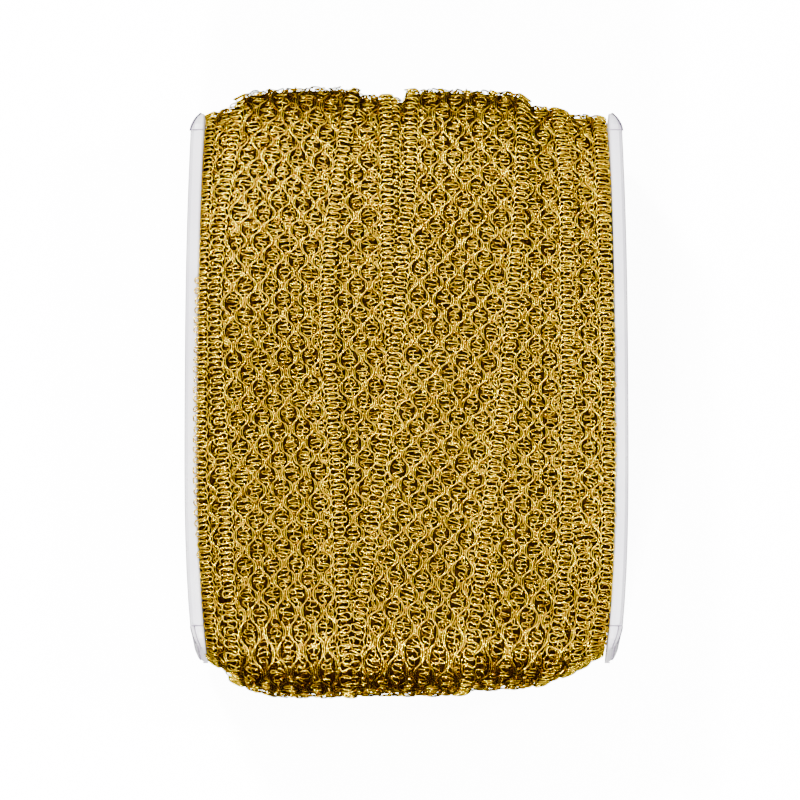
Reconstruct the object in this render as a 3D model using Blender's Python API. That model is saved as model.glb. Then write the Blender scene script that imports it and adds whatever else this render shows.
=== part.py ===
"""Gold mesh braid trim wound in shingled turns on a flat plastic reel, lying on its back.

The wound braid is one solid of its wound form: a flat oval section, fuller at one end, built up
towards the middle and stepped by a braid's thickness where one turn overlaps the next. The reel
shows only as its two end plates, one at each side of the winding.

Metres. X runs across the winding from plate to plate, Y along it, Z up from the surface it lies on.
"""

import math
from typing import NamedTuple

import bmesh
import bpy
import numpy as np

MM = 0.001

# The braid
BRAID_WIDTH = 35.0 * MM
SELVEDGE_WIDTH = 3.9 * MM
SELVEDGE_GROOVE = 0.45 * MM
SELVEDGE_SHOULDER = 1.1 * MM
TURN_EDGE_HALF_SLOPE = 0.3 * MM
CUT_END_HALF_SLOPE = 0.8 * MM
LEAST_LIFT = 0.2 * MM
GROUND_BELOW_LOWEST_TURN = 1.0 * MM

# The winding: a flat oval core form with the braid built up on it
CORE_LENGTH_ROUND_END = 77.5 * MM
CORE_LENGTH_FULL_END = 75.3 * MM
CORE_HALF_DEPTH = 18.6 * MM
ROUND_END_EXPONENT = 2.1
FULL_END_EXPONENT = 3.8
WINDING_HALF_WIDTH = 57.7 * MM
EDGE_BUILD_UP = 3.6 * MM
CROWN_BUILD_UP = 8.9 * MM
CROWN_EXPONENT_LEFT = 5.5
CROWN_EXPONENT_RIGHT = 2.8
RESTING_FLAT_DEPTH = 1.5 * MM

# How far the layers fall short of the crown at the two ends: how far out that starts, and how soon
FULL_END_FALL, FULL_END_FALL_START, FULL_END_FALL_EXPONENT = 4.6 * MM, 37.0 * MM, 1.25
RIGHT_FALL, RIGHT_FALL_START, RIGHT_FALL_RUN = 2.1 * MM, 31.0 * MM, 4.5 * MM
RIGHT_RECOVERY_SHARE, RIGHT_RECOVERY_START, RIGHT_RECOVERY_RUN = 0.55, 46.0 * MM, 8.0 * MM
LEFT_FALL, LEFT_FALL_START, LEFT_FALL_RUN = 1.0 * MM, 44.0 * MM, 4.0 * MM
FALL_REACH = 0.11

# Slight lumps of a hand-tight winding: their height and how far apart they lie
UNEVENNESS = 0.22 * MM
SLOW_SHARE, QUICK_SHARE = 0.7, 0.3
SLOW_WAVE, SLOW_WAVE_ROUND = 9.0 * MM, 14.0 * MM
QUICK_WAVE = 5.0 * MM

# How far the sides of the winding draw in towards its two ends
DRAW_IN_ROUND_END = 1.6 * MM
DRAW_IN_FULL_END = 3.0 * MM
DRAW_IN_REACH = 78.0 * MM
DRAW_IN_EXPONENT_ROUND_END = 2.5
DRAW_IN_EXPONENT_FULL_END = 3.5

# The reel's end plates
PLATE_LENGTH = 151.2 * MM
PLATE_DEPTH = 38.7 * MM
PLATE_THICKNESS = 3.6 * MM
PLATE_CORNER_RADIUS = 5.7 * MM
PLATE_OUTER_ROUND = 2.1 * MM
PLATE_INNER_ROUND = 0.4 * MM
PLATE_OFFSET_Y = 1.5 * MM
PLATE_CLEARANCE = 0.3 * MM
PLATE_BEND_STEP = 9.0 * MM
PLATE_TAPER, PLATE_TAPER_REACH, PLATE_TAPER_EXPONENT = 1.9 * MM, 6.0 * MM, 2.0
CORNER_SEGMENTS, OUTER_SEGMENTS, INNER_SEGMENTS = 5, 3, 1
ON_FACE = 0.01 * MM
SNAP = 0.0005 * MM

# How finely the winding is cut
STATIONS_PER_SIDE = 38
CURVE_SAMPLES = 6000
TURNING_WEIGHT = 0.9
LEAST_COLUMN_GAP = 0.12 * MM
HIDING_DEPTH = 6.0 * MM
HIDDEN_SPREAD = 0.1
SIDE_ROUND = 0.7 * MM

# Places of a turn round the winding, in twenty-fourths of the way round: 0 is the round end,
# 6 the middle of the front, 12 the full end and 18 the middle of the back
ROUND_IN_STEPS = 24.0
TURN_PLACES = (0.0, 2.0, 4.0, 6.0, 8.0, 10.0, 12.0, 16.0, 20.0, 24.0)
CUT_END_PLACE = 19.0 / ROUND_IN_STEPS


class Turn(NamedTuple):
    """One turn of braid: its centre line in mm at each of TURN_PLACES, and how it is laid."""

    name: str
    centre_mm: tuple
    below_crown_mm: float
    below_crown_at_end_mm: float
    edges_that_show: str = ""
    fill_lines_mm: tuple = ()
    ends_on_back: bool = False


# From the lowest turn to the one laid last; each helical turn ends where the next one starts
TURNS = (
    Turn(
        "right_lower", (39.0, 39.5, 40.0, 40.2, 40.2, 39.6, 37.5, 38.5, 38.8, 38.5),
        below_crown_mm=3.0, below_crown_at_end_mm=2.2,
    ),
    Turn(
        "middle_lower", (12.0, 12.0, 12.0, 12.0, 12.0, 12.0, 12.0, 12.0, 12.0, 12.0),
        below_crown_mm=2.4, below_crown_at_end_mm=2.4,
    ),
    Turn(
        "left_lower", (-39.5, -40.6, -41.2, -41.4, -41.4, -39.5, -38.0, -39.5, -40.3, -39.5),
        below_crown_mm=1.7, below_crown_at_end_mm=1.7,
    ),
    Turn(
        "middle_upper", (-21.6, -21.0, -20.7, -19.0, -18.0, -18.5, -19.0, -15.0, -17.5, -21.6),
        below_crown_mm=1.5, below_crown_at_end_mm=1.5, edges_that_show="right",
    ),
    Turn(
        "right_first", (38.5, 39.2, 39.8, 40.2, 40.3, 39.2, 33.6, 32.5, 30.0, 28.0),
        below_crown_mm=2.2, below_crown_at_end_mm=1.7, edges_that_show="right",
    ),
    Turn(
        "right_second", (28.0, 28.5, 28.5, 28.5, 29.0, 33.6, 29.5, 28.5, 27.5, 26.6),
        below_crown_mm=1.7, below_crown_at_end_mm=1.2, edges_that_show="right",
    ),
    Turn(
        "right_third", (26.6, 28.8, 28.9, 29.1, 28.9, 27.4, 22.1, 20.5, 18.8, 17.2),
        below_crown_mm=1.2, below_crown_at_end_mm=0.0, edges_that_show="both",
    ),
    Turn(
        "centre", (17.2, 16.5, 14.2, 11.8, 7.9, 4.1, -0.5, -10.0, -21.0, -30.5),
        below_crown_mm=0.0, below_crown_at_end_mm=0.0, edges_that_show="both",
        fill_lines_mm=(-9.0, 0.0),
    ),
    Turn(
        "last", (-30.5, -34.7, -37.5, -36.8, -34.7, -33.5, -31.6, -33.0, -34.5, -35.0),
        below_crown_mm=-0.6, below_crown_at_end_mm=-0.9, edges_that_show="both",
        fill_lines_mm=(-9.0, 0.0), ends_on_back=True,
    ),
)
LEFT_LOWER = TURNS[2]

# Finishes
GOLD = (0.72, 0.48, 0.06, 1.0)
GOLD_ROUGHNESS, GOLD_METALLIC = 0.35, 1.0
CLEAR_WHITE = (0.86, 0.86, 0.88, 1.0)
PLASTIC_ROUGHNESS, PLASTIC_METALLIC = 0.3, 0.0
SHARP_ANGLE = math.radians(35.0)


def smooth_step(value):
    """A rise from 0 to 1 with level ends."""
    value = np.clip(value, 0.0, 1.0)
    return value * value * (3.0 - 2.0 * value)


def core_curve():
    """Points of the flat oval core form from the round end down the front, and outward normals."""
    angle = np.linspace(0.0, 2.0 * math.pi, CURVE_SAMPLES, endpoint=False)
    along, across = np.cos(angle), np.sin(angle)
    exponent = np.where(along >= 0.0, ROUND_END_EXPONENT, FULL_END_EXPONENT)
    length = np.where(along >= 0.0, CORE_LENGTH_ROUND_END, CORE_LENGTH_FULL_END)
    y = length * np.sign(along) * np.abs(along) ** (2.0 / exponent)
    z = CORE_HALF_DEPTH * np.sign(across) * np.abs(across) ** (2.0 / exponent)
    step_y = np.roll(y, -1) - np.roll(y, 1)
    step_z = np.roll(z, -1) - np.roll(z, 1)
    step = np.hypot(step_y, step_z)
    return y, z, step_z / step, -step_y / step


def round_the_winding():
    """Stations round the form: place in 0..1, point and outward normal, alike on front and back."""
    half = CURVE_SAMPLES // 2 + 1
    y, z, normal_y, normal_z = [values[:half] for values in core_curve()]
    step = np.hypot(np.diff(y), np.diff(z))
    arc = np.concatenate([[0.0], np.cumsum(step)])
    heading = np.unwrap(np.arctan2(normal_z, normal_y))
    turned = np.concatenate([[0.0], np.cumsum(np.abs(np.diff(heading)))])
    weight = arc / arc[-1] + TURNING_WEIGHT * turned / turned[-1]
    wanted = np.linspace(0.0, weight[-1], STATIONS_PER_SIDE + 1)
    place = np.interp(wanted, weight, arc / arc[-1]) * 0.5
    cut = 1.0 - CUT_END_PLACE
    margin = CUT_END_HALF_SLOPE / (2.0 * arc[-1])
    place = np.sort(np.concatenate([place, [cut - margin, cut + margin]]))
    places = np.concatenate([place, 1.0 - place[-2:0:-1]])
    from_round_end = np.minimum(places, 1.0 - places)
    y, z, normal_y, normal_z = [
        np.interp(from_round_end, arc / arc[-1] * 0.5, values) for values in (y, z, normal_y, normal_z)
    ]
    side = np.where(places > 0.5, -1.0, 1.0)
    return places, y, z * side, normal_y, normal_z * side


def turn_values(turn, place):
    """Centre line of a turn, its depth below the crown and whether it is laid, at one place."""
    knots = np.array(TURN_PLACES) / ROUND_IN_STEPS
    centre = np.array(turn.centre_mm) * MM
    slope = np.gradient(centre, knots)
    index = np.clip(np.searchsorted(knots, place, side="right") - 1, 0, len(knots) - 2)
    span = knots[index + 1] - knots[index]
    t = (place - knots[index]) / span
    line = (
        (2.0 * t**3 - 3.0 * t**2 + 1.0) * centre[index]
        + (t**3 - 2.0 * t**2 + t) * span * slope[index]
        + (3.0 * t**2 - 2.0 * t**3) * centre[index + 1]
        + (t**3 - t**2) * span * slope[index + 1]
    )
    on_back = smooth_step((place - 0.5) * 2.0)
    rise = turn.below_crown_at_end_mm - turn.below_crown_mm
    below = (turn.below_crown_mm + rise * on_back) * MM
    laid = np.where(turn.ends_on_back & (place > CUT_END_PLACE), 0.0, 1.0)
    return line, below, laid


def draw_in(y):
    """How far the side of the winding stands in from its widest place, at a place along the reel."""
    reach = np.abs(y) / DRAW_IN_REACH
    return np.where(
        y >= 0.0,
        DRAW_IN_ROUND_END * reach**DRAW_IN_EXPONENT_ROUND_END,
        DRAW_IN_FULL_END * reach**DRAW_IN_EXPONENT_FULL_END,
    )


def crown(x):
    """Height that the winding is built up to above the core form."""
    share = np.clip(np.abs(x) / WINDING_HALF_WIDTH, 0.0, 1.0)
    exponent = np.where(x < 0.0, CROWN_EXPONENT_LEFT, CROWN_EXPONENT_RIGHT)
    return EDGE_BUILD_UP + (CROWN_BUILD_UP - EDGE_BUILD_UP) * (1.0 - share**exponent)


def unevenness(x, place):
    """Slight lumps of a hand-tight winding."""
    around = 2.0 * math.pi * place
    slow = np.sin(x / SLOW_WAVE + 3.0 * around) * np.cos(5.0 * around + x / SLOW_WAVE_ROUND)
    quick = np.sin(x / QUICK_WAVE - 2.0 * around) * np.sin(9.0 * around)
    return UNEVENNESS * (SLOW_SHARE * slow + QUICK_SHARE * quick)


def end_fall(x, place):
    """How much lower the winding is towards its sides at the two ends."""
    from_full_end = np.abs(place - 0.5)
    from_round_end = 0.5 - from_full_end
    outward = np.clip(np.abs(x) - FULL_END_FALL_START, 0.0, None)
    share = outward / (WINDING_HALF_WIDTH - FULL_END_FALL_START)
    full_end = FULL_END_FALL * share**FULL_END_FALL_EXPONENT
    right = RIGHT_FALL * smooth_step((x - RIGHT_FALL_START) / RIGHT_FALL_RUN)
    recovery = RIGHT_RECOVERY_SHARE * smooth_step((x - RIGHT_RECOVERY_START) / RIGHT_RECOVERY_RUN)
    left = LEFT_FALL * smooth_step((-x - LEFT_FALL_START) / LEFT_FALL_RUN)
    round_end = right * (1.0 - recovery) + left
    return (
        full_end * smooth_step(1.0 - from_full_end / FALL_REACH)
        + round_end * smooth_step(1.0 - from_round_end / FALL_REACH)
    )


def build_up(x, place):
    """Height of the outer surface above the core form at columns x, for one place round it."""
    height = crown(x) - TURNS[0].below_crown_mm * MM - GROUND_BELOW_LOWEST_TURN
    for turn in TURNS:
        line, below, laid = turn_values(turn, place)
        inside = BRAID_WIDTH / 2.0 - np.abs(x - line)
        cover = np.clip(0.5 + inside / (2.0 * TURN_EDGE_HALF_SLOPE), 0.0, 1.0) * laid
        from_groove = np.abs(inside - SELVEDGE_WIDTH)
        groove = SELVEDGE_GROOVE * np.clip(1.0 - from_groove / SELVEDGE_SHOULDER, 0.0, 1.0)
        surface = np.maximum(crown(x) - below, height + LEAST_LIFT) - groove
        height = height + cover * (surface - height)
    return height + unevenness(x, place) - end_fall(x, place)


def columns_at(place, half_width):
    """Sorted places across the winding where its surface bends, at one place round it."""
    columns = []
    values = [turn_values(turn, place) for turn in TURNS]
    for k, turn in enumerate(TURNS):
        line = values[k][0]
        columns += [line + offset * MM for offset in turn.fill_lines_mm]
        for side, name in ((-1.0, "left"), (1.0, "right")):
            if turn.edges_that_show not in (name, "both"):
                continue
            edge = line + side * BRAID_WIDTH / 2.0
            later_turns = [later for later, _, laid in values[k + 1:] if laid]
            covers = [BRAID_WIDTH / 2.0 - abs(edge - later) for later in later_turns]
            hidden = smooth_step(max(covers, default=0.0) / HIDING_DEPTH)
            spread = side * (1.0 + (HIDDEN_SPREAD - 1.0) * hidden)
            columns += [edge + spread * TURN_EDGE_HALF_SLOPE, edge - spread * TURN_EDGE_HALF_SLOPE]
            columns += [edge - spread * SELVEDGE_WIDTH]
            columns += [edge - spread * (SELVEDGE_WIDTH + SELVEDGE_SHOULDER)]
    inner = half_width - SIDE_ROUND
    columns = np.sort(np.clip(columns, -inner, inner))
    count = len(columns)
    for k in range(count):
        columns[k] = max(columns[k], -inner + (k + 1) * LEAST_COLUMN_GAP)
        if k:
            columns[k] = max(columns[k], columns[k - 1] + LEAST_COLUMN_GAP)
    for k in reversed(range(count)):
        columns[k] = min(columns[k], inner - (count - k) * LEAST_COLUMN_GAP)
    return np.concatenate([[-half_width, -inner], columns, [inner, half_width]])


def winding_rings():
    """One row of points across the winding for each station round it."""
    rings = []
    edge_height = crown(WINDING_HALF_WIDTH) - LEFT_LOWER.below_crown_mm * MM
    for place, y, z, normal_y, normal_z in zip(*round_the_winding()):
        half_width = WINDING_HALF_WIDTH - float(draw_in(y + normal_y * edge_height))
        x = columns_at(place, half_width)
        height = build_up(x, place)
        height[0] = height[1] - SIDE_ROUND
        height[-1] = height[-2] - SIDE_ROUND
        rings.append(np.stack([x, y + normal_y * height, z + normal_z * height], axis=1))
    return np.array(rings)


def new_object(name, mesh, collection, colour, roughness, metallic):
    """Puts a finished bmesh in the scene as a named object with its own material."""
    data = bpy.data.meshes.new(name)
    mesh.normal_update()
    bmesh.ops.recalc_face_normals(mesh, faces=mesh.faces)
    mesh.to_mesh(data)
    mesh.free()
    material = bpy.data.materials.new(name + "_finish")
    material.use_nodes = True
    shader = material.node_tree.nodes["Principled BSDF"]
    shader.inputs["Base Color"].default_value = colour
    shader.inputs["Roughness"].default_value = roughness
    shader.inputs["Metallic"].default_value = metallic
    material.diffuse_color = colour
    data.materials.append(material)
    item = bpy.data.objects.new(name, data)
    collection.objects.link(item)
    return item


def build_winding(collection):
    """The wound braid: a loft of the rings, closed at each side, with a small flat to lie on.

    Returns the object and the shift that stands the winding on its flat, centred along Y.
    """
    rings = winding_rings()
    lengthwise = rings[:, :, 1]
    middle = (lengthwise.min() + lengthwise.max()) / 2.0
    shift = (0.0, -middle, -rings[:, :, 2].min() - RESTING_FLAT_DEPTH)
    rings += shift
    rings[:, :, 2] = np.maximum(rings[:, :, 2], 0.0)
    mesh = bmesh.new()
    grid = [[mesh.verts.new(point) for point in ring] for ring in rings]
    count = len(grid)
    for k, ring in enumerate(grid):
        following = grid[(k + 1) % count]
        for corners in zip(ring, ring[1:], following[1:], following):
            mesh.faces.new(corners)
    for column in (0, -1):
        for k in range(count // 2):
            side = [grid[j][column] for j in (k, k + 1, count - k - 1, -k)]
            mesh.faces.new(list(dict.fromkeys(side)))
    item = new_object("wound_braid", mesh, collection, GOLD, GOLD_ROUGHNESS, GOLD_METALLIC)
    return item, shift


def build_plate(name, side, shift, collection):
    """An end plate: a rounded slab, thinner at its ends, bent to the side of the winding."""
    mesh = bmesh.new()
    bmesh.ops.create_cube(mesh, size=1.0)
    bmesh.ops.scale(mesh, vec=(PLATE_THICKNESS, PLATE_LENGTH, PLATE_DEPTH), verts=mesh.verts)
    half = PLATE_THICKNESS / 2.0
    corners = [e for e in mesh.edges if abs(e.verts[0].co.x - e.verts[1].co.x) > half]
    bmesh.ops.bevel(
        mesh, geom=corners, offset=PLATE_CORNER_RADIUS, segments=CORNER_SEGMENTS,
        profile=0.5, affect="EDGES",
    )
    rounds = ((1.0, PLATE_OUTER_ROUND, OUTER_SEGMENTS), (-1.0, PLATE_INNER_ROUND, INNER_SEGMENTS))
    for face_side, width, segments in rounds:
        rim = [e for e in mesh.edges if all(v.co.x * face_side > half - ON_FACE for v in e.verts)]
        bmesh.ops.bevel(mesh, geom=rim, offset=width, segments=segments, profile=0.5, affect="EDGES")
    steps = int(PLATE_LENGTH / 2.0 / PLATE_BEND_STEP)
    cuts = [k * PLATE_BEND_STEP for k in range(-steps, steps + 1)]
    ends = sorted({round(abs(v.co.y), 6) for v in mesh.verts})[:-1]
    for y in cuts + [sign * end for end in ends for sign in (-1.0, 1.0)]:
        geometry = mesh.verts[:] + mesh.edges[:] + mesh.faces[:]
        bmesh.ops.bisect_plane(
            mesh, geom=geometry, dist=SNAP, plane_co=(0.0, y, 0.0), plane_no=(0.0, 1.0, 0.0),
        )
    middle = WINDING_HALF_WIDTH + PLATE_CLEARANCE + half
    for vert in mesh.verts:
        y = vert.co.y + PLATE_OFFSET_Y
        past_taper_start = max(0.0, abs(vert.co.y) - PLATE_LENGTH / 2.0 + PLATE_TAPER_REACH)
        taper = PLATE_TAPER * (past_taper_start / PLATE_TAPER_REACH) ** PLATE_TAPER_EXPONENT
        outward = (vert.co.x + half) / PLATE_THICKNESS
        x = middle + vert.co.x - outward * taper
        vert.co.x = side * (x - float(draw_in(np.array(y))))
        vert.co.y = y + shift[1]
        vert.co.z += shift[2]
    return new_object(name, mesh, collection, CLEAR_WHITE, PLASTIC_ROUGHNESS, PLASTIC_METALLIC)


def main():
    """Clears the scene and builds the wound braid and the two end plates."""
    for item in list(bpy.data.objects):
        bpy.data.objects.remove(item, do_unlink=True)
    collection = bpy.data.collections.new("braid_trim_on_flat_reel")
    bpy.context.scene.collection.children.link(collection)
    winding, shift = build_winding(collection)
    left = build_plate("end_plate_left", -1.0, shift, collection)
    right = build_plate("end_plate_right", 1.0, shift, collection)
    for item in (winding, left, right):
        item.data.shade_smooth()
        item.data.set_sharp_from_angle(angle=SHARP_ANGLE)


main()
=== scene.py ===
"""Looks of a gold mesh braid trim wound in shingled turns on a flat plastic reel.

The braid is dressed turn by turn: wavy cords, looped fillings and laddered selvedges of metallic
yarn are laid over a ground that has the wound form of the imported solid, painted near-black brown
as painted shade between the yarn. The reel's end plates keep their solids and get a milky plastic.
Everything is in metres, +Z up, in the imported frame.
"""

from __future__ import annotations

import logging
import math
from collections.abc import Sequence
from dataclasses import dataclass, field
from enum import Enum

import bpy
import numpy as np
from bpy.types import Material, Node, NodeSocket, NodeTree, Object
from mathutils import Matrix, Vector
from numpy.typing import NDArray

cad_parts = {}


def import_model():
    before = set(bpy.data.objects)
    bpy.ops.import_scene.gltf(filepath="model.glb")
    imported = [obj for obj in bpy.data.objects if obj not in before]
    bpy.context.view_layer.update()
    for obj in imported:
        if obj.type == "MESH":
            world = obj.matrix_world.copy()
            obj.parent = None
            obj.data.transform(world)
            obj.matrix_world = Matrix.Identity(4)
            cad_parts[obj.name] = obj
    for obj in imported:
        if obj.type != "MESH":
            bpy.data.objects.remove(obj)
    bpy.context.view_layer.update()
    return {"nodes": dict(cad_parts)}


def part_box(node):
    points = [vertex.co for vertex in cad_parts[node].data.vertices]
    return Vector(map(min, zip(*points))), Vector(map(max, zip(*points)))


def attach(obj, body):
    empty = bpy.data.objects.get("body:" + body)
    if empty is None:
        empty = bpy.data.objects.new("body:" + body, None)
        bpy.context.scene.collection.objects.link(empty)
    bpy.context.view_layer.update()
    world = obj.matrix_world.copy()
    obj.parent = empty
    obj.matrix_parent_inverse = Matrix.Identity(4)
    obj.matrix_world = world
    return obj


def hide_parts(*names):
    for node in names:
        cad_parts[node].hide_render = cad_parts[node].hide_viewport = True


MM: float = 0.001
TURN_ROUND: float = 2.0 * math.pi
TINY: float = 1e-12
# Places round the reel: 0 is the round end, 1 is once round, and the front comes first
FULL_END: float = 0.5
MIDDLE_OF_BACK: float = 0.75
Array = NDArray[np.float64]
Indices = NDArray[np.int64]
Mask = NDArray[np.bool_]
Pair = tuple[float, float]
Colour = tuple[float, float, float, float]
Values = dict[str, float | Colour]
Fixed = tuple[tuple[str, float | Colour], ...]
Sources = dict[str, NodeSocket]
EITHER_WAY: Pair = (-1.0, 1.0)

log = logging.getLogger("braid_trim")


class YarnSection(Enum):
    """How many flat sides a strand of yarn is rounded from."""

    CORD = 4
    THREAD = 3


class Side(Enum):
    """A side of the braid or of the reel, as its direction across."""

    LEFT = -1.0
    RIGHT = 1.0


class Chance(Enum):
    """A use of chance in the yarn, each with draws of its own."""

    FILLINGS = 1
    DEEP_THREADS = 2
    CURLS = 3
    LADDERS = 4
    UNDER_LADDERS = 5


class Waver(Enum):
    """A slow waver of the yarn: about how far apart its swells lie, and a number of its own."""

    WAVE_REACH = (11.0 * MM, 1.0)
    WAVE_PLACE = (17.0 * MM, 2.0)
    ROWS = (23.0 * MM, 3.0)
    LADDERS = (9.0 * MM, 4.0)


def smooth_step(value: Array) -> Array:
    """Gives a rise from 0 to 1 with level ends."""
    value = np.clip(value, 0.0, 1.0)
    return value * value * (3.0 - 2.0 * value)


def unit(vectors: Array) -> Array:
    """Scales vectors along the last axis to a length of 1."""
    return vectors / np.maximum(np.linalg.norm(vectors, axis=-1, keepdims=True), TINY)


def from_ends(place: Array) -> tuple[Array, Array]:
    """Gives how far places round the reel lie from its full end and from its round end."""
    from_full_end = np.abs(place % 1.0 - FULL_END)
    return from_full_end, FULL_END - from_full_end


@dataclass(frozen=True)
class BraidTurn:
    """One turn of the braid round the reel.

    Attributes:
        name: The turn's name, as a part of its piece's name.
        centre_mm: Its centre line across the reel, in mm, at each of PLACES.
        below_crown_mm: How far it lies below the winding's crown on the front.
        below_crown_at_end_mm: The same where the turn ends, after the back.
        turns_before: Whole turns of the same braid before this one, so that the yarn runs on.
        ends_on_back: Whether the braid's cut end is on this turn.
    """

    # As whole parts of 24 once round
    PLACES = np.array((0.0, 2.0, 4.0, 6.0, 8.0, 10.0, 12.0, 16.0, 20.0, 24.0)) / 24.0
    CUT_END = 19.0 / 24.0
    SLANT_STEP = 1.0 / 240.0
    HALF_WIDTH = 17.5 * MM
    SELVEDGE_WIDTH = 3.9 * MM

    name: str
    centre_mm: tuple[float, ...]
    below_crown_mm: float
    below_crown_at_end_mm: float
    turns_before: int
    ends_on_back: bool = False

    def centre(self, place: Array) -> Array:
        """Gives the centre line's X.

        Args:
            place: Places round the reel.

        Returns:
            The X of the centre line at each place.
        """
        knots = self.PLACES
        centre = np.array(self.centre_mm) * MM
        slope = np.gradient(centre, knots)
        index = np.clip(np.searchsorted(knots, place, side="right") - 1, 0, len(knots) - 2)
        span = knots[index + 1] - knots[index]
        t = (place - knots[index]) / span
        return (
            (2.0 * t**3 - 3.0 * t**2 + 1.0) * centre[index]
            + (t**3 - 2.0 * t**2 + t) * span * slope[index]
            + (3.0 * t**2 - 2.0 * t**3) * centre[index + 1]
            + (t**3 - t**2) * span * slope[index + 1]
        )

    def slant(self, place: Array, loop: float) -> Array:
        """Gives the angle at which the turn runs across the reel.

        Args:
            place: Places round the reel.
            loop: Length once round the reel.

        Returns:
            The angle between the turn and the way straight round, in radians.
        """
        step = self.SLANT_STEP
        return np.arctan2(self.centre(place + step) - self.centre(place - step), 2.0 * step * loop)

    def below_crown(self, place: Array) -> Array:
        """Gives how far below the crown the turn lies at each place."""
        rise = self.below_crown_at_end_mm - self.below_crown_mm
        return (self.below_crown_mm + rise * smooth_step((place - FULL_END) * 2.0)) * MM

    def laid(self, place: Array) -> Array:
        """Gives 1 where the turn is laid and 0 past the braid's cut end."""
        return np.where(self.ends_on_back & (place > self.CUT_END), 0.0, 1.0)

    def inside(self, x: Array, place: Array) -> Array:
        """Gives how far points lie inside the turn's edges, below 0 outside them."""
        return self.HALF_WIDTH - np.abs(x - self.centre(place))


# From the lowest turn to the one laid last
TURNS: tuple[BraidTurn, ...] = (
    BraidTurn(
        "right_lower", (39.0, 39.5, 40.0, 40.2, 40.2, 39.6, 37.5, 38.5, 38.8, 38.5), 3.0, 2.2, 0,
    ),
    BraidTurn("middle_lower", (12.0,) * len(BraidTurn.PLACES), 2.4, 2.4, 7),
    BraidTurn(
        "left_lower", (-39.5, -40.6, -41.2, -41.4, -41.4, -39.5, -38.0, -39.5, -40.3, -39.5),
        1.7, 1.7, 8,
    ),
    BraidTurn(
        "middle_upper", (-21.6, -21.0, -20.7, -19.0, -18.0, -18.5, -19.0, -15.0, -17.5, -21.6),
        1.5, 1.5, 9,
    ),
    BraidTurn(
        "right_first", (38.5, 39.2, 39.8, 40.2, 40.3, 39.2, 33.6, 32.5, 30.0, 28.0), 2.2, 1.7, 1,
    ),
    BraidTurn(
        "right_second", (28.0, 28.5, 28.5, 28.5, 29.0, 33.6, 29.5, 28.5, 27.5, 26.6), 1.7, 1.2, 2,
    ),
    BraidTurn(
        "right_third", (26.6, 28.8, 28.9, 29.1, 28.9, 27.4, 22.1, 20.5, 18.8, 17.2), 1.2, 0.0, 3,
    ),
    BraidTurn(
        "centre", (17.2, 16.5, 14.2, 11.8, 7.9, 4.1, -0.5, -10.0, -21.0, -30.5), 0.0, 0.0, 4,
    ),
    BraidTurn(
        "last", (-30.5, -34.7, -37.5, -36.8, -34.7, -33.5, -31.6, -33.0, -34.5, -35.0),
        -0.6, -0.9, 5, ends_on_back=True,
    ),
)


@dataclass(frozen=True)
class EndFall:
    """How far the layers towards the sides fall short of the crown at the winding's two ends.

    Attributes:
        half_width: Half of the winding's width.
    """

    half_width: float
    full_end: float = 4.6 * MM
    full_end_start: float = 37.0 * MM
    full_end_exponent: float = 1.25
    right: float = 2.1 * MM
    right_start: float = 31.0 * MM
    right_run: float = 4.5 * MM
    recovery_share: float = 0.55
    recovery_start: float = 46.0 * MM
    recovery_run: float = 8.0 * MM
    left: float = 1.0 * MM
    left_start: float = 44.0 * MM
    left_run: float = 4.0 * MM
    reach: float = 0.11

    def depth(self, x: Array, place: Array) -> Array:
        """Gives how much lower the winding is than its crown.

        Args:
            x: Places across the reel.
            place: Places round the reel.

        Returns:
            The depth at each of them.
        """
        from_full_end, from_round_end = from_ends(place)
        outward = np.clip(np.abs(x) - self.full_end_start, 0.0, None)
        share = outward / (self.half_width - self.full_end_start)
        full_end = self.full_end * share**self.full_end_exponent
        right = self.right * smooth_step((x - self.right_start) / self.right_run)
        recovery = self.recovery_share * smooth_step((x - self.recovery_start) / self.recovery_run)
        left = self.left * smooth_step((-x - self.left_start) / self.left_run)
        round_end = right * (1.0 - recovery) + left
        return (
            full_end * smooth_step(1.0 - from_full_end / self.reach)
            + round_end * smooth_step(1.0 - from_round_end / self.reach)
        )


@dataclass(frozen=True)
class Unevenness:
    """Slight lumps of a hand-tight winding: their height and how far apart they lie."""

    height: float = 0.22 * MM
    slow_share: float = 0.7
    quick_share: float = 0.3
    slow_wave: float = 9.0 * MM
    slow_wave_round: float = 14.0 * MM
    quick_wave: float = 5.0 * MM
    slow_lumps_round: float = 3.0
    slow_swells_round: float = 5.0
    quick_lumps_round: float = 2.0
    quick_swells_round: float = 9.0

    def rise(self, x: Array, place: Array) -> Array:
        """Gives the height of the lumps.

        Args:
            x: Places across the reel.
            place: Places round the reel.

        Returns:
            The height at each of them.
        """
        around = TURN_ROUND * place
        slow = np.sin(x / self.slow_wave + self.slow_lumps_round * around)
        slow = slow * np.cos(self.slow_swells_round * around + x / self.slow_wave_round)
        quick = np.sin(x / self.quick_wave - self.quick_lumps_round * around)
        quick = quick * np.sin(self.quick_swells_round * around)
        return self.height * (self.slow_share * slow + self.quick_share * quick)


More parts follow.
